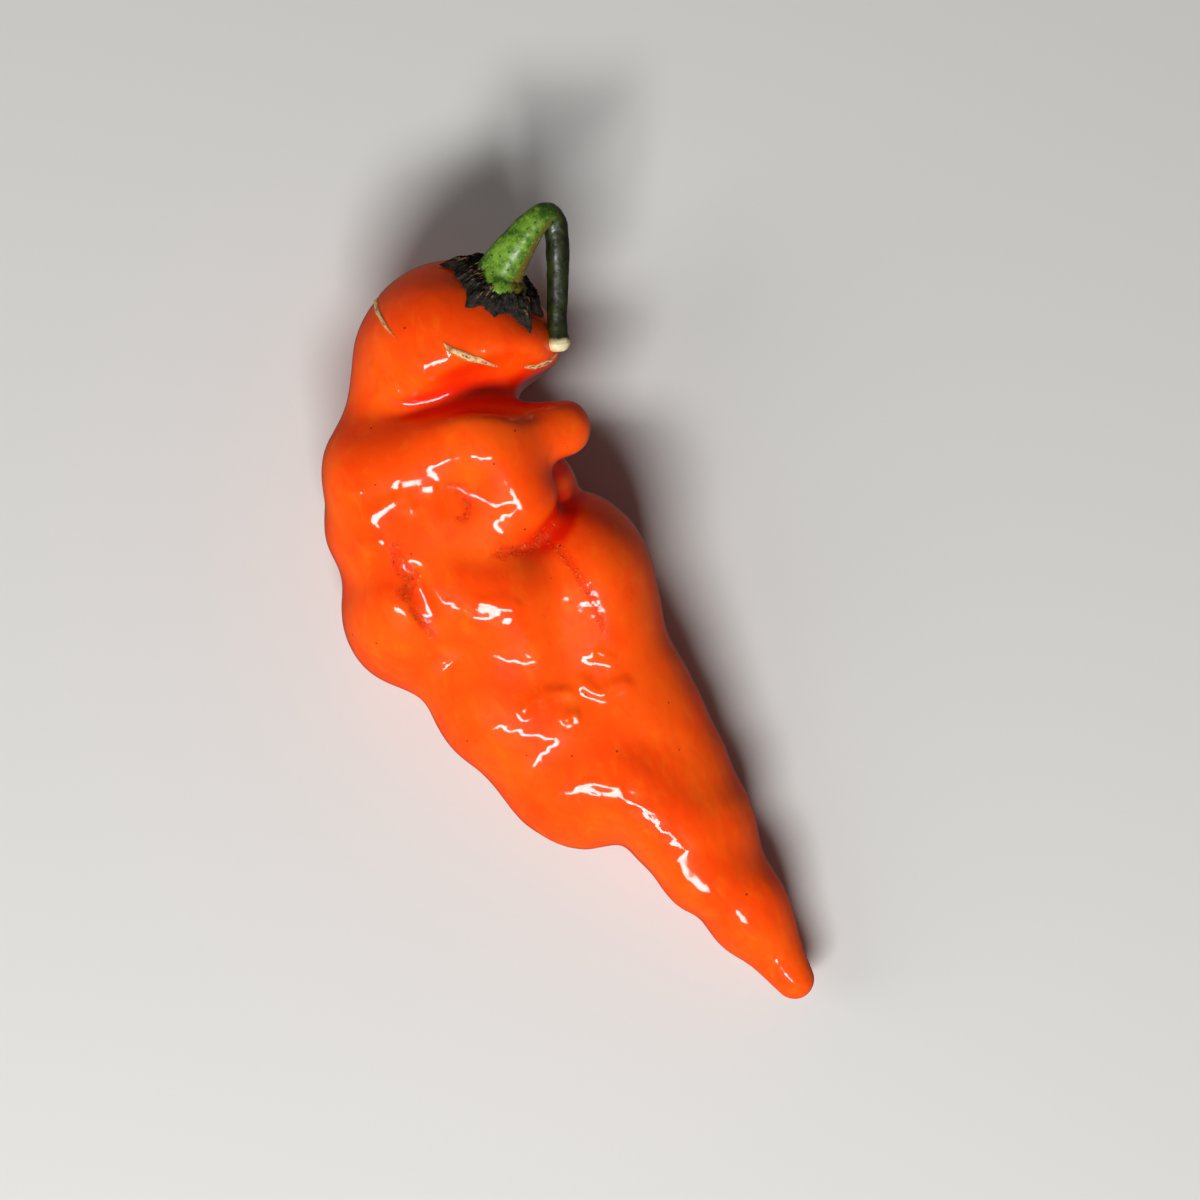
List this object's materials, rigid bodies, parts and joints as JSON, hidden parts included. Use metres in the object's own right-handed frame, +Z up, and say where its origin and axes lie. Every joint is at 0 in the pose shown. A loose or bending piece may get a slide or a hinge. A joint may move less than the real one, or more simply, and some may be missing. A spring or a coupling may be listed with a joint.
{
  "type": "chilli pepper",
  "caption": "Orange chilli pepper lying on its side, with lobed shoulders, a long tapering tip, a dried calyx and a green pedicel that hooks back beside the pod.",
  "frame": {"origin": "under the middle of the whole pepper's box, on the surface it lies on", "axes": "+Z up, +Y from the tip towards the stem end, +X across the pod towards the side the pedicel leaves it"},
  "size_m": [0.0382, 0.0822, 0.0204],
  "materials": {
    "pod_skin": "wet-looking waxy gloss, orange, redder in the hollows",
    "dried_calyx": "matte, dried and fibrous, nearly black with tan edges",
    "green_stem": "satin, fresh green, mottled with dark specks and a brown dried patch"
  },
  "bodies": {
    "root": {"pod": "pod_skin", "calyx": "dried_calyx", "pedicel": "green_stem"}
  },
  "joints": []
}
